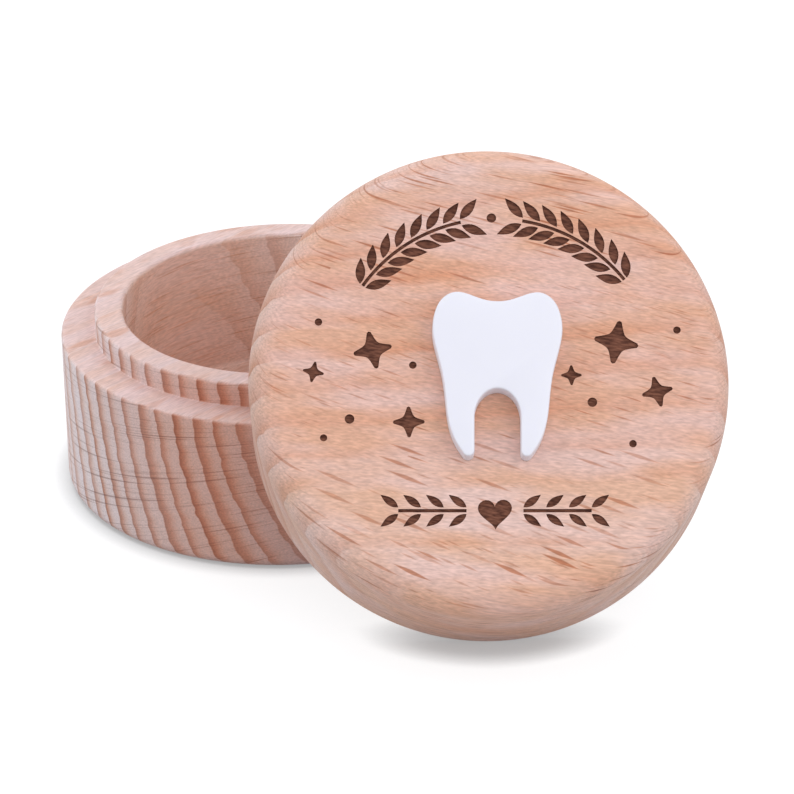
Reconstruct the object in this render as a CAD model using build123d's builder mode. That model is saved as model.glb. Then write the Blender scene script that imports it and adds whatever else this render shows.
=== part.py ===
from build123d import *
import os
from math import sin, cos, radians

# A round turned beech box for baby teeth, open, with its lid leaning on it.
# Millimetres, +Z up. The origin is the centre of the base's underside.
# The lid leans back against the base's shoulder edge, its face up and forward (-Y).

# Turned body, shared by the base and the lid
outer_diameter = 60.0      # both halves are turned to the same diameter
shoulder_width = 4.6       # flat ring round the spigot, where the lid's rim sits
spigot_wall = 3.85         # wall of the raised spigot, also the wall left round the bore

# Base
shoulder_height = 21.5     # from the table to the flat ring
spigot_height = 3.25       # how far the spigot stands above the ring
floor_thickness = 5.0      # wood left under the bore
foot_rounding = 1.5        # outer edge on the table
shoulder_edge = 0.3        # sanded edge of the ring, as a narrow chamfer
spigot_edge = 0.4          # sanded edges of the spigot's rim

# Lid
lid_height = 20.0          # from the rim to the flat face
face_rounding = 3.5        # wide soft edge round the face
rim_edge = 0.6             # sanded outer edge of the open rim, as a chamfer
socket_clearance = 0.2     # radial clearance of the socket round the spigot
socket_depth = 8.0         # from the rim to the socket's flat bottom
socket_lead = 0.4          # eased inner edge that guides the lid onto the spigot

# How the lid leans
lid_lean = 49.0            # degrees between the lid's axis and the vertical
lid_side_offset = 26.0     # how far the lid stands to the right of the base's centre
lean_clearance = 0.3       # running gap between the lid's rim plane and the base

# Tooth figure glued on the lid's face
tooth_width = 16.1         # widest, across the crown
tooth_height = 20.9        # from the humps to the tips of the roots
tooth_thickness = 2.5      # sheet that the tooth is cut from
tooth_edge = 0.2           # eased front edge
root_tip_radius = 0.75     # rounded end of each root
root_gap = 5.7             # width of the gap between the roots
tooth_side_shift = 0.9     # tooth's centre to the right of the lid's centre
tooth_drop = 0.25          # tooth's centre below the lid's centre
tooth_turn = 1.8           # degrees that the tooth is glued clockwise of upright
film_thickness = 0.15      # double-sided adhesive film under the tooth

# Half of the tooth's outer edge, from the dip between the humps down to the root,
# as shares of half the width and half the height
crown_shares = [(0.0, 0.87), (0.34, 0.925), (0.665, 0.98), (0.85, 0.9), (0.965, 0.73), (1.0, 0.51)]
flank_shares = [(0.945, 0.27), (0.865, 0.03), (0.81, -0.24), (0.77, -0.53), (0.655, -0.83)]
root_corner_share = -1.14  # height of the sharp corner that the root's tip is rounded from
arch_top_share = -0.2      # highest point of the gap between the roots
arch_spring_share = -0.55  # height where the gap's sides become straight

# Sizes that follow from the ones above
outer_radius = outer_diameter / 2
spigot_radius = outer_radius - shoulder_width
bore_radius = spigot_radius - spigot_wall
rim_height = shoulder_height + spigot_height
socket_radius = spigot_radius + socket_clearance
lean_sin = sin(radians(lid_lean))
lean_cos = cos(radians(lid_lean))

# The chamfered lower edge of the lid's rim touches the table
lid_rim_z = max(outer_radius * lean_sin - rim_edge * lean_cos, (outer_radius - rim_edge) * lean_sin)
# The rim plane stands clear of whichever edge of the base comes nearest to it
shoulder_reach = outer_radius * lean_sin + shoulder_height * lean_cos
spigot_reach = spigot_radius * lean_sin + rim_height * lean_cos
base_reach = max(shoulder_reach, spigot_reach)
lid_rim_y = -(base_reach + lean_clearance - lid_rim_z * lean_cos) / lean_sin

# Planes: the lid's rim, its half section and its face, the film and the tooth
lid_plane = Plane(
    origin=(lid_side_offset, lid_rim_y, lid_rim_z),
    x_dir=(1, 0, 0),
    z_dir=(0, -lean_sin, lean_cos),
)
lid_axis = Axis(lid_plane.origin, lid_plane.z_dir)
lid_section_plane = Plane(origin=lid_plane.origin, x_dir=lid_plane.x_dir, z_dir=-lid_plane.y_dir)
face_plane = lid_plane.offset(lid_height)
tooth_spot = face_plane.from_local_coords(Vector(tooth_side_shift, -tooth_drop, 0))
upright = face_plane.x_dir
tooth_x_dir = upright.rotate(Axis((0, 0, 0), face_plane.z_dir), -tooth_turn)
film_plane = Plane(origin=tooth_spot, x_dir=tooth_x_dir, z_dir=face_plane.z_dir)
tooth_plane = film_plane.offset(film_thickness)


def corner(section, across, up):
    """The vertex of a half section at a radius and a height."""
    return section.vertices().sort_by_distance((across, up, 0))[0]


# Base: a cup turned from one blank, with a spigot that the lid fits over
with BuildPart() as base:
    with BuildSketch(Plane.XZ) as base_section:
        with BuildLine():
            Polyline(
                (0, 0),
                (outer_radius, 0),
                (outer_radius, shoulder_height),
                (spigot_radius, shoulder_height),
                (spigot_radius, rim_height),
                (bore_radius, rim_height),
                (bore_radius, floor_thickness),
                (0, floor_thickness),
                close=True,
            )
        make_face()
        fillet(corner(base_section, outer_radius, 0), radius=foot_rounding)
        chamfer(corner(base_section, outer_radius, shoulder_height), length=shoulder_edge)
        chamfer(corner(base_section, spigot_radius, rim_height), length=spigot_edge)
        chamfer(corner(base_section, bore_radius, rim_height), length=spigot_edge)
    revolve(axis=Axis.Z)
base.part.label = "base"

# Lid: a thick turned cap with a flat-bottomed socket for the spigot
with BuildPart() as lid:
    with BuildSketch(lid_section_plane) as lid_section:
        with BuildLine():
            Polyline(
                (socket_radius, 0),
                (outer_radius, 0),
                (outer_radius, lid_height),
                (0, lid_height),
                (0, socket_depth),
                (socket_radius, socket_depth),
                close=True,
            )
        make_face()
        fillet(corner(lid_section, outer_radius, lid_height), radius=face_rounding)
        chamfer(corner(lid_section, outer_radius, 0), length=rim_edge)
        chamfer(corner(lid_section, socket_radius, 0), length=socket_lead)
    revolve(axis=lid_axis)
lid.part.label = "lid"

# Outline of the tooth: two humps, a waist and two roots with an arched gap
half_width = tooth_width / 2
half_height = tooth_height / 2
crown_points = [(half_width * x, half_height * y) for x, y in crown_shares + flank_shares]
root_inside = root_gap / 2
root_corner = (root_inside, half_height * root_corner_share)
arch_spring = half_height * arch_spring_share
arch_rise = half_height * (arch_top_share - arch_spring_share)
with BuildSketch() as tooth_outline:
    with BuildLine():
        Spline(*crown_points, root_corner, tangents=((1, 0), (-1, -1)))
        Line(root_corner, (root_inside, arch_spring))
        EllipticalCenterArc((0, arch_spring), root_inside, arch_rise, start_angle=0, arc_size=90)
        mirror(about=Plane.YZ)
    make_face()
    fillet(tooth_outline.vertices().group_by(Axis.Y)[0], radius=root_tip_radius)

# Adhesive film: laid on the back of the sheet before the tooth is cut, so of one outline with it
with BuildPart() as tooth_adhesive:
    with BuildSketch(film_plane):
        add(tooth_outline.sketch)
    extrude(amount=film_thickness)
tooth_adhesive.part.label = "tooth_adhesive"

# Tooth: cut from white sheet, with its front edge eased
with BuildPart() as tooth:
    with BuildSketch(tooth_plane):
        add(tooth_outline.sketch)
    extrude(amount=tooth_thickness)
    chamfer(tooth.faces().sort_by(lid_axis)[-1].edges(), length=tooth_edge)
tooth.part.label = "tooth"

os.makedirs("parts", exist_ok=True)
export_step(base.part, "parts/base.step")
export_step(lid.part, "parts/lid.step")
export_step(tooth_adhesive.part, "parts/tooth_adhesive.step")
export_step(tooth.part, "parts/tooth.step")
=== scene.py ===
import math
import bmesh
import bpy
from mathutils import Matrix, Vector


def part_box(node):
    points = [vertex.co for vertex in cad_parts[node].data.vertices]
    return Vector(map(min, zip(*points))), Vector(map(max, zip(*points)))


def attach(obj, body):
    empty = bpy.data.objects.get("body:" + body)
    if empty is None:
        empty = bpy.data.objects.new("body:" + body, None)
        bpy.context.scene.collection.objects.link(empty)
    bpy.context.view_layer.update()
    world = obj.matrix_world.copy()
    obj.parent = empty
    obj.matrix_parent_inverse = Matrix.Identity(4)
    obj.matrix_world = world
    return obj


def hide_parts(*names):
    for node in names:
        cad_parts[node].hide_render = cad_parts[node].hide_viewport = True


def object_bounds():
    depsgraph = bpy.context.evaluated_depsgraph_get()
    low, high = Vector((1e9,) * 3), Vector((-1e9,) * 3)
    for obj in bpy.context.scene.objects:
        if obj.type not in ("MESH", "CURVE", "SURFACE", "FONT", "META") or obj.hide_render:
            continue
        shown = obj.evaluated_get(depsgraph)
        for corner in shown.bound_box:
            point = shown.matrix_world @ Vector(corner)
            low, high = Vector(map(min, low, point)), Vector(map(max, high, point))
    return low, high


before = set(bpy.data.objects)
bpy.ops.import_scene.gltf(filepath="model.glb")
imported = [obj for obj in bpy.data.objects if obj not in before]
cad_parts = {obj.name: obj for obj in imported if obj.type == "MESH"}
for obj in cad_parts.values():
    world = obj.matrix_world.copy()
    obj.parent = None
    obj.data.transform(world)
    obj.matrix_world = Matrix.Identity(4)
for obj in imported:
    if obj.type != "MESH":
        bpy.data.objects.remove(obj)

cad_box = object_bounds()
MM = 0.001
SAME_POINT = 1e-7           # metres within which a mesh's points are merged
NEARLY = 1e-6               # metres within which a point counts as on an axis or plane, or a seam as closed

# Base
# The real piece is a cup turned on a lathe from one blank of steamed beech and sanded, not varnished.
# Its raised spigot fits the lid's socket. The blank lay with its fibres across the box, so the growth
# rings show as stripes at the front left, where the fibres end, and only as short dashes in the bore.
outer_radius = (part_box("base")[1].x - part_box("base")[0].x) / 2
rim_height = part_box("base")[1].z
shoulder_width = 4.6 * MM
spigot_wall = 3.85 * MM
spigot_height = 3.25 * MM
floor_thickness = 5.0 * MM
foot_rounding = 1.5 * MM
shoulder_rounding = 0.45 * MM
spigot_rounding = 0.55 * MM
bore_cove = 0.8 * MM        # left by the rounded corner of the turning tool
step_cove = 0.15 * MM       # inner corner between the shoulder and the spigot
support = 0.08 * MM         # distance from a rounding to the ring that keeps the flat beside it flat
turning_segments = 288
arc_steps = 6

spigot_radius = outer_radius - shoulder_width
bore_radius = spigot_radius - spigot_wall
shoulder_height = rim_height - spigot_height


def rounding(centre, radius, start, end, steps=arc_steps):
    """Points on a quarter round of a half section, from one direction to the other, in degrees."""
    turns = [math.radians(start + (end - start) * i / steps) for i in range(steps + 1)]
    return [(centre[0] + radius * math.cos(t), centre[1] + radius * math.sin(t)) for t in turns]


def add_node(tree, kind, settings=None, inputs=None):
    """Adds a node to a tree, with its settings, and its inputs as values or as other nodes' sockets."""
    node = tree.nodes.new(kind)
    for key, value in (settings or {}).items():
        setattr(node, key, value)
    for key, value in (inputs or {}).items():
        if isinstance(value, bpy.types.Node):
            value = value.outputs[0]
        if isinstance(value, bpy.types.NodeSocket):
            tree.links.new(value, node.inputs[key])
        else:
            node.inputs[key].default_value = value
    return node


def calculate(tree, operation, *values):
    """A sum, product or the like of single values."""
    return add_node(tree, "ShaderNodeMath", {"operation": operation}, dict(enumerate(values)))


def calculate_vector(tree, operation, *values):
    """A sum, product or the like of vectors."""
    return add_node(tree, "ShaderNodeVectorMath", {"operation": operation}, dict(enumerate(values)))


def scaled(tree, vector, factor):
    """A vector times a single value."""
    return add_node(tree, "ShaderNodeVectorMath", {"operation": "SCALE"}, {0: vector, "Scale": factor})


def add_object(name, data):
    """A new object in the scene, at the origin."""
    piece = bpy.data.objects.new(name, data)
    bpy.context.scene.collection.objects.link(piece)
    return piece


def apply_modifiers(piece):
    """Gives a piece the mesh that its modifiers make, and takes them off."""
    depsgraph = bpy.context.evaluated_depsgraph_get()
    mesh = bpy.data.meshes.new_from_object(piece.evaluated_get(depsgraph), depsgraph=depsgraph)
    piece.modifiers.clear()
    piece.data = mesh


def new_geometry_tree(name, sockets):
    """An empty Geometry Nodes tree with named inputs, and its input node."""
    tree = bpy.data.node_groups.new(name, "GeometryNodeTree")
    tree.interface.new_socket("Geometry", in_out="INPUT", socket_type="NodeSocketGeometry")
    for socket, kind in sockets.items():
        tree.interface.new_socket(socket, in_out="INPUT", socket_type=kind)
    tree.interface.new_socket("Geometry", in_out="OUTPUT", socket_type="NodeSocketGeometry")
    return tree, add_node(tree, "NodeGroupInput")


def grow(name, seed, tree, values):
    """A plain mesh object that a Geometry Nodes tree grows from a seed mesh, with its inputs by name."""
    piece = add_object(name, seed)
    modifier = piece.modifiers.new(name, "NODES")
    modifier.node_group = tree
    for item in tree.interface.items_tree:
        if item.item_type == "SOCKET" and item.in_out == "INPUT" and item.name in values:
            modifier[item.identifier] = values[item.name]
    apply_modifiers(piece)
    piece.data.name = name
    return piece


def seed_mesh(name, points, edges=()):
    """A mesh of loose points, or of points joined by edges, for a tree to start from."""
    mesh = bpy.data.meshes.new(name)
    mesh.from_pydata([tuple(p) for p in points], list(edges), [])
    return mesh


def clean_up(piece, smooth_below=35):
    """Merges a closed piece's doubles, turns its faces outwards, and shades it smooth below an angle."""
    grid = bmesh.new()
    grid.from_mesh(piece.data)
    bmesh.ops.remove_doubles(grid, verts=grid.verts, dist=SAME_POINT)
    bmesh.ops.recalc_face_normals(grid, faces=grid.faces)
    grid.to_mesh(piece.data)
    grid.free()
    piece.data.shade_smooth()
    piece.data.set_sharp_from_angle(angle=math.radians(smooth_below))


# The turning: a half section is a row of points, and the tree spins copies of it about the Z axis
lathe, section = new_geometry_tree("lathe", {
    "Segments": "NodeSocketInt",
    "Finish": "NodeSocketMaterial",
})
section_size = add_node(lathe, "GeometryNodeAttributeDomainSize", {"component": "MESH"},
                        {"Geometry": section.outputs["Geometry"]})
column_length = calculate(lathe, "ADD", section.outputs["Segments"], 1)
turned_grid = add_node(lathe, "GeometryNodeMeshGrid", None,
                       {"Vertices X": section_size.outputs["Point Count"], "Vertices Y": column_length})
vertex_index = add_node(lathe, "GeometryNodeInputIndex")
section_share = calculate(lathe, "DIVIDE", vertex_index, column_length)
section_place = add_node(lathe, "GeometryNodeSampleIndex", {"data_type": "FLOAT_VECTOR", "domain": "POINT"}, {
    "Geometry": section.outputs["Geometry"],
    "Value": add_node(lathe, "GeometryNodeInputPosition"),
    "Index": calculate(lathe, "FLOOR", section_share),
})
segment_index = calculate(lathe, "MODULO", vertex_index, column_length)
full_turn = calculate(lathe, "MULTIPLY", segment_index, math.tau)
segment_turn = calculate(lathe, "DIVIDE", full_turn, section.outputs["Segments"])
spun_place = add_node(lathe, "ShaderNodeVectorRotate", {"rotation_type": "Z_AXIS"},
                      {"Vector": section_place, "Angle": segment_turn})
spun = add_node(lathe, "GeometryNodeSetPosition", None, {"Geometry": turned_grid, "Position": spun_place})
seam_closed = add_node(lathe, "GeometryNodeMergeByDistance", None, {"Geometry": spun, "Distance": NEARLY})
turned_whole = add_node(lathe, "GeometryNodeRealizeInstances", None, {"Geometry": seam_closed})
turned_finish = add_node(lathe, "GeometryNodeSetMaterial", None,
                         {"Geometry": turned_whole, "Material": section.outputs["Finish"]})
add_node(lathe, "NodeGroupOutput", None, {"Geometry": turned_finish})


def linear(code):
    """Linear colour of an sRGB hex code."""
    parts = [int(code[i:i + 2], 16) / 255 for i in (1, 3, 5)]
    return tuple(p / 12.92 if p <= 0.04045 else ((p + 0.055) / 1.055) ** 2.4 for p in parts) + (1.0,)


def new_material(name):
    """An empty material and its node tree."""
    material = bpy.data.materials.new(name)
    material.use_nodes = True
    material.node_tree.nodes.clear()
    return material, material.node_tree


def add_surface(tree, inputs):
    """Ends a material's tree with a Principled surface."""
    surface = add_node(tree, "ShaderNodeBsdfPrincipled", None, inputs)
    add_node(tree, "ShaderNodeOutputMaterial", None, {"Surface": surface})


def map_range(tree, value, old=(0.0, 1.0), new=(0.0, 1.0), kind="LINEAR"):
    """A value carried from an old range to a new one, and held inside it."""
    return add_node(tree, "ShaderNodeMapRange", {"interpolation_type": kind}, {
        "Value": value, "From Min": old[0], "From Max": old[1], "To Min": new[0], "To Max": new[1]})


def mixed(tree, factor, first, second, blend="MIX"):
    """The mix of two colours, each of them a hex code or a socket."""
    first, second = [linear(c) if isinstance(c, str) else c for c in (first, second)]
    return add_node(tree, "ShaderNodeMix", {"data_type": "RGBA", "blend_type": blend},
                    {"Factor": factor, 6: first, 7: second}).outputs[2]


def ramp(tree, share, stops):
    """A colour ramp through stops, each of them a share and a linear colour."""
    node = add_node(tree, "ShaderNodeValToRGB", None, {"Fac": share})
    points = node.color_ramp.elements
    while len(points) < len(stops):
        points.new(0.5)
    for point, (place, colour) in zip(points, stops):
        point.position = place
        point.color = colour
    return node


def noise(tree, place, cell, detail):
    """Noise at a place, with a size of its features along each axis."""
    in_cells = calculate_vector(tree, "MULTIPLY", place, [1 / size for size in cell])
    return add_node(tree, "ShaderNodeTexNoise", None, {"Vector": in_cells, "Scale": 1.0, "Detail": detail})


def wander(tree, place, cell, detail, size):
    """A smooth shift of a place, by up to half a size each way along each axis."""
    shift = noise(tree, place, cell, detail).outputs["Color"]
    return calculate_vector(tree, "MULTIPLY_ADD", shift, size, [-s / 2 for s in size])


def axis_distance(tree, place):
    """A place's distance from the Z axis."""
    flat = calculate_vector(tree, "MULTIPLY", place, (1, 1, 0))
    return calculate_vector(tree, "LENGTH", flat).outputs["Value"]


def place_in_wood(tree, coordinates, pith, turn):
    """Object coordinates in a blank's own axes, in millimetres from a point of its pith."""
    return add_node(tree, "ShaderNodeMapping", {"vector_type": "TEXTURE"}, {
        "Vector": coordinates.outputs["Object"],
        "Location": pith,
        "Rotation": turn,
        "Scale": (MM, MM, MM),
    })


# Steamed beech, turned and sanded. The eye sees pink-brown wood with darker growth-ring edges, which
# are strong where the fibres end and faint along them, and spindle-shaped ray flecks of a few mm.
ray_depth = 40.0            # size of a ray's cell outwards from the pith, in millimetres
ray_edge = 0.52             # a ray fades away at this distance in its cell
ray_middle = 0.25           # and has its full tone below this one
fine_rays = 0.55            # size of the smaller rays' cells, as a share of the others'
fine_ray_tone = 0.6         # and their depth of tone, as a share too


def beech(name, pith, outward, along, ring_spacing, ring_seed, end_stops, long_stops, ray_length, ray_pitch,
          rays_kept, fleck_code, line_code, redness, redness_along, checks_kept, checks_from, streaks,
          ray_edge_far=ray_edge, painted_bounce_radius=0.0):
    """Beech cut from a tree whose pith runs through a point, in the direction of the fibres.

    Stops are a ring's colours from its pale start to its dark end, where the fibres end and along them.
    Redness is a list of distances from the pith, in millimetres, and of how much redder the wood is there.
    A ray has a cell of a length along the fibres and a pitch across them, and the kept shares say how many
    of the cells hold a ray or a hairline check. Checks start at a distance from the pith. Streaks is the
    depth of tone of the fibres and blushes. The rays' edge falls to its far value outwards, so that they
    get narrower. Within the painted bounce radius of the Z axis, which is a bore's, the colour is painted a
    little warmer and darker: painted bounce light and shade in the hollow.
    """
    material, tree = new_material(name)
    along = Vector(along).normalized()
    around = along.cross(Vector(outward)).normalized()
    outward = around.cross(along)
    axes = Matrix((outward, around, along)).transposed()
    near, far = redness[0][0], redness[-1][0]
    depth = (near + far) / 2

    # Place in the tree: x outwards from the pith, y round it, z along the fibres, in millimetres
    coordinates = add_node(tree, "ShaderNodeTexCoord")
    in_tree = place_in_wood(tree, coordinates, pith, axes.to_euler())
    bend = wander(tree, in_tree, (40, 40, 110), 1.0, (3.6, 3.6, 0.0))
    ripple = wander(tree, in_tree, (4, 1.8, 30), 2.0, (0.9, 0.5, 0.0))
    bent = calculate_vector(tree, "ADD", in_tree, bend)
    grown = calculate_vector(tree, "ADD", bent, ripple)
    bent_distance = axis_distance(tree, bent)
    parts = add_node(tree, "ShaderNodeSeparateXYZ", None, {0: bent})
    angle = calculate(tree, "ARCTAN2", parts.outputs["Y"], parts.outputs["X"])
    polar = add_node(tree, "ShaderNodeCombineXYZ", None, {
        "X": bent_distance,
        "Y": calculate(tree, "MULTIPLY", angle, depth),
        "Z": parts.outputs["Z"],
    })

    # Growth rings of uneven width: dense late wood ends in a thin dark line, and pale early wood follows
    ring_count = calculate(tree, "DIVIDE", axis_distance(tree, grown), ring_spacing)
    season_place = calculate(tree, "MULTIPLY_ADD", ring_count, 0.4, ring_seed)
    season = add_node(tree, "ShaderNodeTexNoise", {"noise_dimensions": "1D"},
                      {"W": season_place, "Scale": 1.0, "Detail": 1.0})
    ring_phase = calculate(tree, "MULTIPLY_ADD", season, 0.9, ring_count)
    ring_share = calculate(tree, "FRACT", ring_phase)
    ring_number = calculate(tree, "FLOOR", ring_phase)
    ring_draw = add_node(tree, "ShaderNodeTexWhiteNoise", {"noise_dimensions": "1D"}, {"W": ring_number})
    ring_drawn = map_range(tree, ring_draw.outputs["Value"], new=(0.7, 1.0))
    faded = map_range(tree, noise(tree, in_tree, (6, 9, 22), 1.0), (0.42, 0.7), (0.05, 1.0))
    ring_strength = calculate(tree, "MULTIPLY", ring_drawn, faded)
    end_wood, long_wood = [
        mixed(tree, strength, stops[1][1],
              ramp(tree, ring_share, [(share, linear(code)) for share, code in stops]))
        for stops, strength in ((end_stops, ring_drawn), (long_stops, ring_strength))]

    # How far the surface cuts across the fibres: 1 where they end, 0 along them
    facing = calculate_vector(tree, "DOT_PRODUCT", coordinates.outputs["Normal"], along).outputs["Value"]
    end_grain = calculate(tree, "POWER", facing, 2.0)
    wood = mixed(tree, end_grain, long_wood, end_wood)

    # Rays: thin flat bundles that run outwards, so they cut as spindles, dashes or fine lines
    edge = map_range(tree, bent_distance, (depth, far), (ray_edge, ray_edge_far))
    ray_masks, cells = [], []
    for size, kept, strength in ((1.0, rays_kept[0], 1.0), (fine_rays, rays_kept[1], fine_ray_tone)):
        ray_place = calculate_vector(tree, "DIVIDE", polar,
                                     (ray_depth * size, ray_pitch * size, ray_length * size))
        cell = add_node(tree, "ShaderNodeTexVoronoi", {"distance": "MINKOWSKI"},
                        {"Vector": ray_place, "Scale": 1.0, "Exponent": 1.2})
        draw = add_node(tree, "ShaderNodeSeparateColor", None, {0: cell.outputs["Color"]})
        core = map_range(tree, cell.outputs["Distance"], (edge, ray_middle), (0.0, strength), "SMOOTHSTEP")
        ray_tone = calculate(tree, "MULTIPLY", core, calculate(tree, "LESS_THAN", draw.outputs[0], kept))
        ray_varied = map_range(tree, draw.outputs[1], new=(0.35, 1.0))
        ray_masks.append(calculate(tree, "MULTIPLY", ray_tone, ray_varied))
        cells.append((cell.outputs["Distance"], draw.outputs[2]))
    rays = calculate(tree, "MAXIMUM", *ray_masks)
    ray_tint = mixed(tree, end_grain, fleck_code, line_code)
    flecked = mixed(tree, rays, wood, ray_tint, "MULTIPLY")

    # Fibres and vessels: streaks along the grain, and fine specks where it ends
    fibre_tone = map_range(tree, noise(tree, polar, (0.3, 0.22, 11), 2.0), (0.25, 0.75),
                           (1 - 0.15 * streaks, 1 + 0.09 * streaks))
    vessel_tone = map_range(tree, noise(tree, polar, (0.22, 0.22, 1.3), 1.0), (0.3, 0.7), (0.88, 1.1))
    fine_tone = calculate(tree, "MULTIPLY", fibre_tone, vessel_tone)

    # Blushes of a warmer tone, a few millimetres wide, and redder wood at some distances from the pith
    blush = map_range(tree, noise(tree, polar, (4, 5, 22), 2.0), (0.38, 0.62))
    blush_tint = mixed(tree, blush, "#FFFCFF", "#FAE7D3")
    blush_shown = map_range(tree, end_grain, new=(streaks, 0.3 * streaks))
    blushed = mixed(tree, blush_shown, flecked, blush_tint, "MULTIPLY")
    red_tone = ramp(tree, map_range(tree, bent_distance, (near, far)),
                    [((place - near) / (far - near), (amount, amount, amount, 1.0))
                     for place, amount in redness])
    red_shown = map_range(tree, end_grain, (0.0, 0.75), (redness_along, 1.0))
    red_in_late = map_range(tree, ring_share, (0.3, 0.8), (0.75, 1.0))
    red_here = calculate(tree, "MULTIPLY", red_tone, red_shown)
    red_amount = calculate(tree, "MULTIPLY", red_here, red_in_late)
    reddened = mixed(tree, red_amount, blushed, "#EFB797", "MULTIPLY")

    # Hairline checks: drying has opened a few of the larger rays where the fibres end
    check_core = map_range(tree, cells[0][0], (0.4, 0.15))
    check_kept = calculate(tree, "LESS_THAN", cells[0][1], checks_kept)
    check_zone = map_range(tree, end_grain, (0.08, 0.2))
    check_far = map_range(tree, bent_distance, (checks_from, checks_from + 4))
    check_line = calculate(tree, "MULTIPLY", check_core, check_kept)
    check_shown = calculate(tree, "MULTIPLY", check_zone, check_far)
    checks = calculate(tree, "MULTIPLY", check_line, check_shown)
    finished = mixed(tree, checks, reddened, "#8C6A60", "MULTIPLY")
    # Painted bounce light and shade: inside the bore a warm tint darkens the colour, standing in for the warm
    # light that bounces between its walls.
    if painted_bounce_radius:
        painted_bounce_in_bore = map_range(tree, axis_distance(tree, coordinates.outputs["Object"]),
                              (painted_bounce_radius + 0.2 * MM, painted_bounce_radius))
        finished = mixed(tree, painted_bounce_in_bore, finished, "#FFF9EE", "MULTIPLY")

    # Sanded surface: rays and vessels lie a little lower than the fibres
    relief = calculate(tree, "MULTIPLY_ADD", rays, -0.5, fine_tone)
    add_surface(tree, {
        "Base Color": scaled(tree, finished, fine_tone),
        "Roughness": map_range(tree, rays, new=(0.6, 0.5)),
        "Specular IOR Level": 0.5,
        "Normal": add_node(tree, "ShaderNodeBump", None,
                           {"Strength": 0.35, "Distance": 0.04 * MM, "Height": relief}),
    })
    return material


base_fibres = (-0.728, -0.685, 0.0)             # they end at the front left and at the back right
base_pith = Vector((77.0, -81.9, 39.0)) * MM    # to the right of the blank and above it
base_finish = beech(
    "beech_turned_base", base_pith, -base_pith, base_fibres, ring_spacing=2.8, ring_seed=3.7,
    end_stops=[(0.0, "#E4DBDF"), (0.3, "#E2D7D9"), (0.55, "#DECAC5"), (0.8, "#C49580"), (0.96, "#9C6548"),
               (1.0, "#E4DBDF")],
    long_stops=[(0.0, "#E4CCCA"), (0.3, "#E3C8C4"), (0.7, "#E2C4BD"), (0.93, "#E0C0B5"), (0.97, "#DDBBAD"),
                (1.0, "#E4CCCA")],
    ray_length=9.0, ray_pitch=0.3, rays_kept=(0.75, 0.6), fleck_code="#F2DCCC", line_code="#C0B3AF",
    redness=[(97, 1.0), (107, 0.8), (117, 0.35), (126, 0.0)], redness_along=0.0,
    checks_kept=0.0, checks_from=0, streaks=0.4, painted_bounce_radius=bore_radius)

base_section = [
    (0, 0),
    (outer_radius - foot_rounding - support, 0),
    *rounding((outer_radius - foot_rounding, foot_rounding), foot_rounding, -90, 0, steps=8),
    (outer_radius, foot_rounding + support),
    (outer_radius, shoulder_height - shoulder_rounding - support),
    *rounding((outer_radius - shoulder_rounding, shoulder_height - shoulder_rounding),
              shoulder_rounding, 0, 90),
    (outer_radius - shoulder_rounding - support, shoulder_height),
    (spigot_radius + step_cove + support, shoulder_height),
    *rounding((spigot_radius + step_cove, shoulder_height + step_cove), step_cove, 270, 180, steps=3),
    (spigot_radius, shoulder_height + step_cove + support),
    (spigot_radius, rim_height - spigot_rounding - support),
    *rounding((spigot_radius - spigot_rounding, rim_height - spigot_rounding), spigot_rounding, 0, 90),
    (spigot_radius - spigot_rounding - support, rim_height),
    (bore_radius + spigot_rounding + support, rim_height),
    *rounding((bore_radius + spigot_rounding, rim_height - spigot_rounding), spigot_rounding, 90, 180),
    (bore_radius, rim_height - spigot_rounding - support),
    (bore_radius, floor_thickness + bore_cove + support),
    *rounding((bore_radius - bore_cove, floor_thickness + bore_cove), bore_cove, 0, -90),
    (bore_radius - bore_cove - support, floor_thickness),
    (0, floor_thickness),
]
base_seed = seed_mesh("base_section", [(r, 0, z) for r, z in base_section])
base = grow("turned_base", base_seed, lathe, {"Segments": turning_segments, "Finish": base_finish})
clean_up(base)
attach(base, "base")
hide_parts("base")

# Lid
# The real piece is a thick cap, turned from beech as the base is, with a flat-bottomed socket inside.
# Its face is engraved by laser with four-pointed stars and dots. The lettering of the original is left
# off: a leaf garland and a row of two sprigs with a heart stand in its two places.
lid_height = 20.0 * MM
face_rounding = 3.5 * MM
rim_rounding = 0.96 * MM    # as deep as the CAD lid's 0.6 mm chamfer, so the lid stands on the table
rim_edge = 0.6 * MM
socket_clearance = 0.2 * MM
socket_depth = 8.0 * MM
socket_lead = 0.5 * MM
socket_cove = 0.4 * MM
lid_lean = math.radians(49.0)
lean_clearance = 0.3 * MM

# The lid stands on its rim's edge, and its rim plane clears the base's shoulder
lid_low, lid_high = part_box("lid")
lid_across = (lid_low.x + lid_high.x) / 2
lid_rim_z = outer_radius * math.sin(lid_lean) - rim_edge * math.cos(lid_lean)
shoulder_reach = outer_radius * math.sin(lid_lean) + shoulder_height * math.cos(lid_lean)
lid_rim_y = -(shoulder_reach + lean_clearance - lid_rim_z * math.cos(lid_lean)) / math.sin(lid_lean)
lid_place = Matrix.Translation((lid_across, lid_rim_y, lid_rim_z)) @ Matrix.Rotation(lid_lean, 4, "X")

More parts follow.
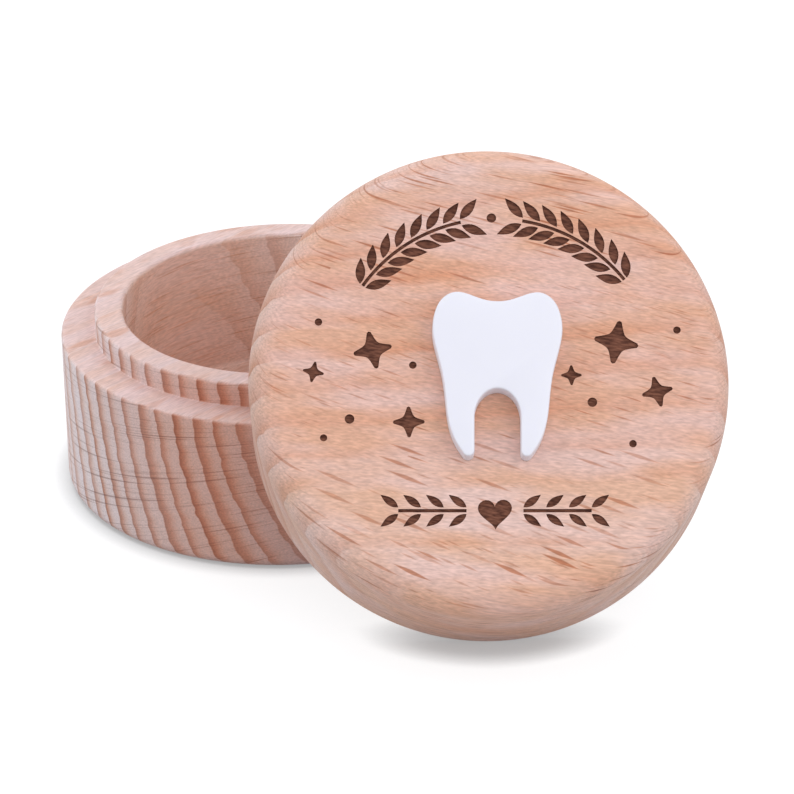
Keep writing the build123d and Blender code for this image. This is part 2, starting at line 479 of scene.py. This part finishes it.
socket_radius = spigot_radius + socket_clearance
lid_section = [
    (0, lid_height),
    (outer_radius - face_rounding - support, lid_height),
    *rounding((outer_radius - face_rounding, lid_height - face_rounding), face_rounding, 90, 0, steps=14),
    (outer_radius, lid_height - face_rounding - support),
    (outer_radius, rim_rounding + support),
    *rounding((outer_radius - rim_rounding, rim_rounding), rim_rounding, 0, -90),
    (outer_radius - rim_rounding - support, 0),
    (socket_radius + socket_lead + support, 0),
    *rounding((socket_radius + socket_lead, socket_lead), socket_lead, -90, -180),
    (socket_radius, socket_lead + support),
    (socket_radius, socket_depth - socket_cove - support),
    *rounding((socket_radius - socket_cove, socket_depth - socket_cove), socket_cove, 0, 90),
    (socket_radius - socket_cove - support, socket_depth),
    (0, socket_depth),
]
lid_seed = seed_mesh("lid_section", [(r, 0, z) for r, z in lid_section])


def from_lid_axes(local_direction):
    """A direction given in the lid's own axes, turned with the lid."""
    return lid_place.to_3x3() @ Vector(local_direction)


# The lid's blank: fibres a little off the face, pith behind it and beyond its upper edge
lid_fibres = from_lid_axes((0.975, -0.11, -0.19))
lid_outward = from_lid_axes((0.0, -58.0, 40.0))
lid_pith = lid_place @ Vector((0, 0, lid_height)) - lid_outward * MM
lid_finish = beech(
    "beech_turned_lid", lid_pith, lid_outward, lid_fibres, ring_spacing=3.5, ring_seed=11.3,
    end_stops=[(0.0, "#D8C5BD"), (0.3, "#D6BAAE"), (0.7, "#C8A392"), (0.93, "#BE8F76"), (0.96, "#B27B60"),
               (1.0, "#D8C5BD")],
    long_stops=[(0.0, "#E9C5B6"), (0.3, "#EBCABE"), (0.65, "#E7BEAB"), (0.85, "#E3B39C"), (1.0, "#E9C5B6")],
    ray_length=7.0, ray_pitch=0.35, rays_kept=(0.46, 0.25), fleck_code="#D2A88B", line_code="#C4B0A8",
    redness=[(50, 0.05), (58, 0.22), (76, 0.22), (83, 0.0), (90, 0.0), (95, 0.15)], redness_along=1.0,
    checks_kept=0.07, checks_from=78, streaks=1.0, ray_edge_far=0.4)
lid = grow("turned_lid", lid_seed, lathe, {"Segments": turning_segments, "Finish": lid_finish})
clean_up(lid)

# The laser's cuts. Stamps are flat outlines of unit radius, which a tree sets out on the face and makes
# solid, and a boolean then takes them out of the lid. Each has its place and its radius in millimetres,
# and a star has its turn in degrees too.
engraving_depth = 0.25 * MM
engraving_overlap = 0.2 * MM        # how far a cutter stands above the face
star_places = [
    ((-14.42, 3.57), 2.43, 10.6), ((-21.84, 0.94), 1.33, -12.3), ((-10.18, -5.72), 1.97, -0.6),
    ((15.90, 3.84), 2.78, -11.4), ((10.16, -0.25), 1.29, -1.0), ((20.74, -2.62), 1.96, 12.0),
]
dot_places = [
    ((-21.06, 7.34), 0.47), ((-9.48, 1.52), 0.47), ((-17.50, -5.16), 0.60), ((-20.76, -7.48), 0.45),
    ((23.52, 5.22), 0.47), ((12.62, -3.76), 0.60), ((17.44, -9.16), 0.47), ((0.9, 20.3), 0.60),
]
heart_places = [((0.1, -17.4), 2.1)]
star_waist_share = 0.5              # how near the sides come to the star's centre
star_tip_share = 0.1                # half the width of an arm's blunt end
star_side_weight = 4.0              # pull of a side towards its hollow: the sides are nearly straight


def flat_outline(name, points):
    """An object of one flat face for a tree to set out. Whoever asks for it removes it again."""
    mesh = bpy.data.meshes.new(name)
    mesh.from_pydata([(x, y, 0) for x, y in points], [], [range(len(points))])
    return add_object(name, mesh)


def star_points(steps=12):
    """A four-pointed star of unit arms with hollow sides, counterclockwise."""
    arm_end = 1 - star_tip_share / 2
    start, end = Vector((arm_end, star_tip_share)), Vector((star_tip_share, arm_end))
    waist = star_waist_share * math.cos(math.pi / 4)
    pull = ((1 + star_side_weight) * 2 * waist - arm_end - star_tip_share) / (2 * star_side_weight)
    middle = Vector((pull, pull))
    points = []
    for quarter in range(4):
        turn = Matrix.Rotation(quarter * math.pi / 2, 2)
        points.append(turn @ Vector((1, 0)))
        for i in range(steps + 1):
            # A weighted curve from one arm's blunt end to the next, pulled in towards the waist
            share = i / steps
            weights = ((1 - share) ** 2, 2 * star_side_weight * share * (1 - share), share ** 2)
            place = (weights[0] * start + weights[1] * middle + weights[2] * end) / sum(weights)
            points.append(turn @ place)
    return points


def dot_points(steps=28):
    """A circle of unit radius."""
    return [(math.cos(math.tau * i / steps), math.sin(math.tau * i / steps)) for i in range(steps)]


def heart_points(steps=40):
    """A plain heart, two units wide, point down."""
    turns = [math.tau * i / steps for i in range(steps)]
    return [(math.sin(-t) ** 3, (13 * math.cos(t) - 5 * math.cos(2 * t) - 2 * math.cos(3 * t)
                                 - math.cos(4 * t)) / 16) for t in turns]


def leaf_points(steps=9, breadth=0.36):
    """A pointed leaf of unit length from its stalk at the origin along X."""
    upper = [(i / steps, breadth / 2 * math.sin(math.pi * (i / steps) ** 0.85)) for i in range(steps + 1)]
    lower = [(x, -y) for x, y in upper[1:-1]]
    return lower + upper[::-1]


# Laser-charred beech: the wood's own grain stays visible in the burnt floor as lighter streaks
def charred(name, axes_from):
    """Charred beech that takes the place and direction of its streaks from the wood's material."""
    material, tree = new_material(name)
    wood_place = next(n for n in axes_from.node_tree.nodes if n.bl_idname == "ShaderNodeMapping").inputs
    in_tree = place_in_wood(tree, add_node(tree, "ShaderNodeTexCoord"),
                            wood_place["Location"].default_value, wood_place["Rotation"].default_value)
    streak = noise(tree, in_tree, (0.3, 0.25, 2.2), 2.0)
    add_surface(tree, {
        "Base Color": mixed(tree, map_range(tree, streak, (0.35, 0.68)), "#523026", "#865745"),
        "Roughness": 0.85,
        "Specular IOR Level": 0.2,
        "Normal": add_node(tree, "ShaderNodeBump", None,
                           {"Strength": 0.5, "Distance": 0.05 * MM, "Height": streak}),
    })
    return material


char_finish = charred("laser_charred_beech", lid_finish)


def join(tree, first, second):
    """Two pieces of geometry as one, both of them real."""
    both = add_node(tree, "GeometryNodeJoinGeometry", None, {"Geometry": first})
    tree.links.new(second.outputs[0], both.inputs["Geometry"])
    return add_node(tree, "GeometryNodeRealizeInstances", None, {"Geometry": both})


def add_solid(tree, flat, depth, finish):
    """Ends a tree by making flat faces into closed blocks of a depth, with a finish."""
    drop = add_node(tree, "ShaderNodeCombineXYZ", None, {"Z": depth})
    walls = add_node(tree, "GeometryNodeExtrudeMesh", None,
                     {"Mesh": flat, "Offset": drop, "Offset Scale": -1.0, "Individual": False})
    tops = add_node(tree, "GeometryNodeFlipFaces", None, {"Mesh": flat})
    closed = add_node(tree, "GeometryNodeMergeByDistance", None,
                      {"Geometry": join(tree, walls, tops), "Distance": SAME_POINT})
    finished = add_node(tree, "GeometryNodeSetMaterial", None, {"Geometry": closed, "Material": finish})
    add_node(tree, "NodeGroupOutput", None, {"Geometry": finished})


# Stamps: outlines set out on points, each with its own size and turn
stamping, stamp_inputs = new_geometry_tree("stamping", {
    "Outline": "NodeSocketObject",
    "Depth": "NodeSocketFloat",
    "Finish": "NodeSocketMaterial",
})
stamp_outline = add_node(stamping, "GeometryNodeObjectInfo", None,
                         {"Object": stamp_inputs.outputs["Outline"]})
stamp_size, stamp_turn = [add_node(stamping, "GeometryNodeInputNamedAttribute", {"data_type": "FLOAT"},
                                   {"Name": attribute}) for attribute in ("size", "turn")]
stamps = add_node(stamping, "GeometryNodeInstanceOnPoints", None, {
    "Points": stamp_inputs.outputs["Geometry"],
    "Instance": stamp_outline.outputs["Geometry"],
    "Rotation": add_node(stamping, "ShaderNodeCombineXYZ", None, {"Z": stamp_turn}),
    "Scale": stamp_size,
})
flat_stamps = add_node(stamping, "GeometryNodeRealizeInstances", None, {"Geometry": stamps})
add_solid(stamping, flat_stamps, stamp_inputs.outputs["Depth"], stamp_inputs.outputs["Finish"])

# Sprigs: pairs of leaves along a stem, which follows a path
sprigs, sprig_inputs = new_geometry_tree("sprigs", {
    "Leaf": "NodeSocketObject",
    "Pairs": "NodeSocketInt",
    "Leaf length": "NodeSocketFloat",
    "Leaf lean": "NodeSocketFloat",
    "Stem width": "NodeSocketFloat",
    "Depth": "NodeSocketFloat",
    "Finish": "NodeSocketMaterial",
})
leaf_outline = add_node(sprigs, "GeometryNodeObjectInfo", None, {"Object": sprig_inputs.outputs["Leaf"]})
stem_path = add_node(sprigs, "GeometryNodeMeshToCurve", None, {"Mesh": sprig_inputs.outputs["Geometry"]})
leaf_path = add_node(sprigs, "GeometryNodeResampleCurve", None,
                     {"Curve": stem_path, "Count": sprig_inputs.outputs["Pairs"]})
stem_direction = add_node(sprigs, "GeometryNodeInputTangent")
direction_parts = add_node(sprigs, "ShaderNodeSeparateXYZ", None, {0: stem_direction})
stem_heading = calculate(sprigs, "ARCTAN2", direction_parts.outputs["Y"], direction_parts.outputs["X"])
leaf_sides = []
for side in (1, -1):
    heading = calculate(sprigs, "MULTIPLY_ADD", sprig_inputs.outputs["Leaf lean"], side, stem_heading)
    # A leaf starts beside the stem, a stem's width from its middle, and turns with its heading
    stand_off = add_node(sprigs, "ShaderNodeVectorRotate", {"rotation_type": "Z_AXIS"},
                         {"Vector": (0.0, 1.0 * side, 0.0), "Angle": stem_heading})
    beside = add_node(sprigs, "GeometryNodeSetPosition", None, {
        "Geometry": leaf_path,
        "Offset": scaled(sprigs, stand_off, sprig_inputs.outputs["Stem width"]),
    })
    leaf_sides.append(add_node(sprigs, "GeometryNodeInstanceOnPoints", None, {
        "Points": beside,
        "Instance": leaf_outline.outputs["Geometry"],
        "Rotation": add_node(sprigs, "ShaderNodeCombineXYZ", None, {"Z": heading}),
        "Scale": sprig_inputs.outputs["Leaf length"],
    }))
stem_half = calculate(sprigs, "MULTIPLY", sprig_inputs.outputs["Stem width"], 0.5)
edge_start = add_node(sprigs, "ShaderNodeCombineXYZ", None, {"X": stem_half})
stem_edge = add_node(sprigs, "GeometryNodeCurvePrimitiveLine", None,
                     {"Start": edge_start, "End": scaled(sprigs, edge_start, -1.0)})
upright_path = add_node(sprigs, "GeometryNodeSetCurveNormal", {"mode": "Z_UP"}, {"Curve": stem_path})
stem_strip = add_node(sprigs, "GeometryNodeCurveToMesh", None,
                      {"Curve": upright_path, "Profile Curve": stem_edge})
flat_sprigs = join(sprigs, join(sprigs, *leaf_sides), stem_strip)
add_solid(sprigs, flat_sprigs, sprig_inputs.outputs["Depth"], sprig_inputs.outputs["Finish"])


def stamp(name, points, places):
    """Cutters for one outline at the given places, sizes and turns on the lid's face."""
    outline = flat_outline(name + "_outline", points)
    seed = seed_mesh(name, [(place[0][0] * MM, place[0][1] * MM, cutter_top) for place in places])
    sizes = seed.attributes.new("size", "FLOAT", "POINT")
    turns = seed.attributes.new("turn", "FLOAT", "POINT")
    for i, place in enumerate(places):
        sizes.data[i].value = place[1] * MM
        turns.data[i].value = math.radians(place[2]) if len(place) > 2 else 0.0
    cutter = grow(name, seed, stamping, {"Outline": outline, "Depth": cutter_depth, "Finish": char_finish})
    bpy.data.objects.remove(outline)
    return cutter


def sprig(name, path, pairs, leaf_length):
    """Cutters for a stem along a path on the lid's face, with its leaves."""
    leaf = flat_outline(name + "_leaf", leaf_points())
    seed = seed_mesh(name, [(x, y, cutter_top) for x, y in path],
                     [(i, i + 1) for i in range(len(path) - 1)])
    cutter = grow(name, seed, sprigs, {
        "Leaf": leaf,
        "Pairs": pairs,
        "Leaf length": leaf_length,
        "Leaf lean": leaf_lean,
        "Stem width": stem_width,
        "Depth": cutter_depth,
        "Finish": char_finish,
    })
    bpy.data.objects.remove(leaf)
    return cutter


cutter_top = lid_height + engraving_overlap
cutter_depth = engraving_depth + engraving_overlap
stem_width = 0.42 * MM
leaf_lean = math.radians(36)
garland_centre = (0.9 * MM, 0.0)
garland_radius = 20.2 * MM
garland_half_span = 54          # degrees each side of the top
garland_gap = 11                # degrees from the top to a sprig's last leaves
garland_pairs, garland_leaf = 8, 3.4 * MM
row_centre = Vector((0.1, -17.2)) * MM
row_turn = Matrix.Rotation(math.radians(-1.4), 2)
row_inner, row_outer = 3.5 * MM, 11.9 * MM
row_pairs, row_leaf = 4, 2.7 * MM
path_steps = 40
cutters = [
    stamp("star_cutters", star_points(), star_places),
    stamp("dot_cutters", dot_points(), dot_places),
    stamp("heart_cutter", heart_points(), heart_places),
]
for side in (-1, 1):
    turns = [90 - side * (garland_half_span + (garland_gap - garland_half_span) * i / path_steps)
             for i in range(path_steps + 1)]
    garland = [(garland_centre[0] + garland_radius * math.cos(math.radians(t)),
                garland_centre[1] + garland_radius * math.sin(math.radians(t))) for t in turns]
    cutters.append(sprig("garland_cutter", garland, garland_pairs, garland_leaf))
    row = [row_centre + row_turn @ Vector((side * (row_inner + (row_outer - row_inner) * i / path_steps), 0))
           for i in range(path_steps + 1)]
    cutters.append(sprig("row_cutter", row, row_pairs, row_leaf))

# The flat face becomes one polygon before the cuts, so they leave no thin triangles on it
grid = bmesh.new()
grid.from_mesh(lid.data)
face_middle = [v for v in grid.verts if v.co.xy.length < NEARLY and v.co.z > lid_height - NEARLY]
bmesh.ops.dissolve_verts(grid, verts=face_middle)
grid.to_mesh(lid.data)
grid.free()
lid.data.materials.append(char_finish)
for cutter in cutters:
    clean_up(cutter)
    cut = lid.modifiers.new(cutter.name, "BOOLEAN")
    cut.operation, cut.solver, cut.object = "DIFFERENCE", "EXACT", cutter
    cut.material_mode = "TRANSFER"
apply_modifiers(lid)
for cutter in cutters:
    bpy.data.objects.remove(cutter)
lid.data.transform(lid_place)
clean_up(lid, smooth_below=30)
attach(lid, "lid")
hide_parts("lid")

# Tooth
# The real piece is a small figure cut by laser from white cast acrylic sheet, with its front edge eased.
# It is glued on the lid's face. Its outline is the back of the CAD tooth, raised to the sheet's thickness.
tooth_thickness = 2.5 * MM
tooth_edge = 0.28 * MM
face_direction = from_lid_axes((0, 0, 1))


def acrylic(name):
    """White cast acrylic: even and milky, glossy on the sheet's faces and duller where the laser cut."""
    material, tree = new_material(name)
    coordinates = add_node(tree, "ShaderNodeTexCoord")
    facing = calculate_vector(tree, "DOT_PRODUCT", coordinates.outputs["Normal"], face_direction)
    front = map_range(tree, facing.outputs["Value"], (0.6, 0.95), kind="SMOOTHSTEP")
    cloud = noise(tree, coordinates.outputs["Object"], (6 * MM, 6 * MM, 6 * MM), 2.0)
    add_surface(tree, {
        # Painted shade: the cut edges, where the surface turns away from the face, get a greyer, less blue
        # white than the faces, besides their rougher laser-cut finish.
        "Base Color": scaled(tree, mixed(tree, front, "#E6E4EC", "#F1F1FC"),
                             map_range(tree, cloud, (0.3, 0.7), (0.985, 1.0))),
        "Roughness": map_range(tree, front, new=(0.5, 0.3)),
        "IOR": 1.49,
        "Subsurface Weight": 0.1,
        "Subsurface Radius": (1.0 * MM, 1.0 * MM, 1.2 * MM),
        "Subsurface Scale": 1.0,
    })
    return material


tooth = add_object("acrylic_tooth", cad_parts["tooth"].data.copy())
grid = bmesh.new()
grid.from_mesh(tooth.data)
bmesh.ops.remove_doubles(grid, verts=grid.verts, dist=SAME_POINT)
back_height = min(v.co.dot(face_direction) for v in grid.verts)
not_back = [f for f in grid.faces
            if max(v.co.dot(face_direction) for v in f.verts) > back_height + NEARLY]
bmesh.ops.delete(grid, geom=not_back, context="FACES")
bmesh.ops.dissolve_limit(grid, angle_limit=math.radians(1), verts=grid.verts, edges=grid.edges,
                         delimit={"NORMAL"})
raised = bmesh.ops.extrude_face_region(grid, geom=list(grid.faces), use_keep_orig=True)["geom"]
front_verts = [g for g in raised if isinstance(g, bmesh.types.BMVert)]
front_edges = [g for g in raised if isinstance(g, bmesh.types.BMEdge)]
bmesh.ops.translate(grid, verts=front_verts, vec=face_direction * tooth_thickness)
bmesh.ops.bevel(grid, geom=front_edges, offset=tooth_edge, segments=4, profile=0.5, affect="EDGES")
grid.to_mesh(tooth.data)
grid.free()
tooth.data.materials.clear()
tooth.data.materials.append(acrylic("cast_white_acrylic"))
clean_up(tooth, smooth_below=40)
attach(tooth, "lid")
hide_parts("tooth")

# Adhesive film
# The real piece is clear double-sided film, laid on the acrylic sheet before the tooth is cut from it.
# Only its thin edge shows, as a slightly warm line between the tooth and the wood.
film, film_tree = new_material("clear_adhesive_film")
film_place = add_node(film_tree, "ShaderNodeTexCoord")
film_scale = scaled(film_tree, film_place.outputs["Object"], 1 / (0.8 * MM))
film_cloud = add_node(film_tree, "ShaderNodeTexNoise", None, {"Vector": film_scale, "Scale": 1.0})
add_surface(film_tree, {
    "Base Color": mixed(film_tree, film_cloud, "#DCD3C8", "#E9E2DA"),
    "Roughness": 0.35,
    "IOR": 1.47,
    "Transmission Weight": 0.5,
})
film_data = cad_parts["tooth_adhesive"].data
film_data.materials.clear()
film_data.materials.append(film)

# Studio: a white paper floor under an even white sky, as in a light tent. Three large soft lamps, behind
# on the left, at the left and at the front right, shape the wood only a little.
floor_half = 3.0
floor_drop = 0.02 * MM          # the paper lies just clear of the underside
contact_reach = 5.0 * MM
floor_mesh = bpy.data.meshes.new("studio_floor")
floor_mesh.from_pydata([(-floor_half, -floor_half, 0), (floor_half, -floor_half, 0),
                        (floor_half, floor_half, 0), (-floor_half, floor_half, 0)], [], [(0, 1, 2, 3)])
floor_mesh.transform(Matrix.Translation((0, 0, -floor_drop)))
floor = add_object("studio_floor", floor_mesh)


def seen(tree):
    """1 for rays from the camera and from what mirrors or transmits to it, 0 for the rays that light."""
    path = add_node(tree, "ShaderNodeLightPath")
    direct = calculate(tree, "MAXIMUM", path.outputs["Is Camera Ray"], path.outputs["Is Glossy Ray"])
    return calculate(tree, "MAXIMUM", direct, path.outputs["Is Transmission Ray"])


# The camera sees paper that is overexposed to white, so that of the box's real shadow only the soft grey
# close to it is left. Over it lies a painted contact shadow: the paper's glow is dimmed where ambient
# occlusion finds the box within the contact reach. Other rays see it darker, so that it throws little light
# up at the wood.
paper, paper_tree = new_material("white_studio_paper")
paper_white = add_node(paper_tree, "ShaderNodeBsdfDiffuse", None, {"Color": linear("#949597")})
painted_contact_shadow = add_node(paper_tree, "ShaderNodeAmbientOcclusion", {"samples": 16},
                         {"Distance": contact_reach})
glow_dimmed_by_painted_shadow = map_range(paper_tree, painted_contact_shadow.outputs["AO"], (0.35, 0.82), (0.32, 0.8))
paper_lift = add_node(paper_tree, "ShaderNodeEmission", None,
                      {"Color": linear("#FFFFFF"), "Strength": glow_dimmed_by_painted_shadow})
paper_shown = add_node(paper_tree, "ShaderNodeAddShader", None, {0: paper_white, 1: paper_lift})
paper_unseen = add_node(paper_tree, "ShaderNodeBsdfDiffuse", None, {"Color": linear("#BCBCBE")})
paper_surface = add_node(paper_tree, "ShaderNodeMixShader", None,
                         {0: seen(paper_tree), 1: paper_unseen, 2: paper_shown})
add_node(paper_tree, "ShaderNodeOutputMaterial", None, {"Surface": paper_surface})
floor_mesh.materials.append(paper)

world = bpy.data.worlds.new("studio_world")
bpy.context.scene.world = world
world.use_nodes = True
sky = world.node_tree
sky.nodes.clear()
sky_seen = seen(sky)
background = add_node(sky, "ShaderNodeBackground", None, {
    "Color": mixed(sky, sky_seen, "#FCFDFF", "#FFFFFF"),
    "Strength": map_range(sky, sky_seen, new=(0.8, 1.0)),
})
add_node(sky, "ShaderNodeOutputWorld", None, {"Surface": background})

object_middle = (cad_box[0] + cad_box[1]) / 2
lamp_distance = 0.9
lamp_size = 0.9


def lamp(name, direction, power, colour="#FFFFFF"):
    """A square soft lamp that shines at the object from a direction."""
    light = bpy.data.lights.new(name, "AREA")
    light.shape, light.size, light.energy = "SQUARE", lamp_size, power
    light.color = linear(colour)[:3]
    holder = add_object(name, light)
    direction = Vector(direction).normalized()
    holder.location = object_middle + direction * lamp_distance
    holder.rotation_euler = (-direction).to_track_quat("-Z", "Y").to_euler()


lamp("back_softbox", (-0.5, 0.5, 0.7), power=2.2, colour="#EEF5FF")
lamp("left_softbox", (-0.9, -0.1, 0.42), power=1.2)
lamp("right_softbox", (0.7, -0.5, 0.5), power=2.4)

# Camera: the place and lens that bring the two turned rims, the face and the feet onto the photograph
camera_place = Vector((5.698, -473.135, 252.128)) * MM
camera_azimuth, camera_pitch, camera_roll = 0.0205, 0.4735, -0.0144
sensor_width = 36.0
image_width = 794
focal_pixels = 3871.9
forward = Vector((math.sin(camera_azimuth) * math.cos(camera_pitch),
                  math.cos(camera_azimuth) * math.cos(camera_pitch), -math.sin(camera_pitch)))
level = Vector((math.cos(camera_azimuth), -math.sin(camera_azimuth), 0))
steep = level.cross(forward)
camera_right = level * math.cos(camera_roll) + steep * math.sin(camera_roll)
camera_up = steep * math.cos(camera_roll) - level * math.sin(camera_roll)
camera_data = bpy.data.cameras.new("camera")
camera_data.sensor_width = sensor_width
camera_data.lens = focal_pixels * sensor_width / image_width
camera = add_object("camera", camera_data)
camera.matrix_world = Matrix.Translation(camera_place) @ Matrix(
    (camera_right, camera_up, -forward)).transposed().to_4x4()
bpy.context.scene.camera = camera
bpy.context.scene.view_settings.view_transform = "Standard"
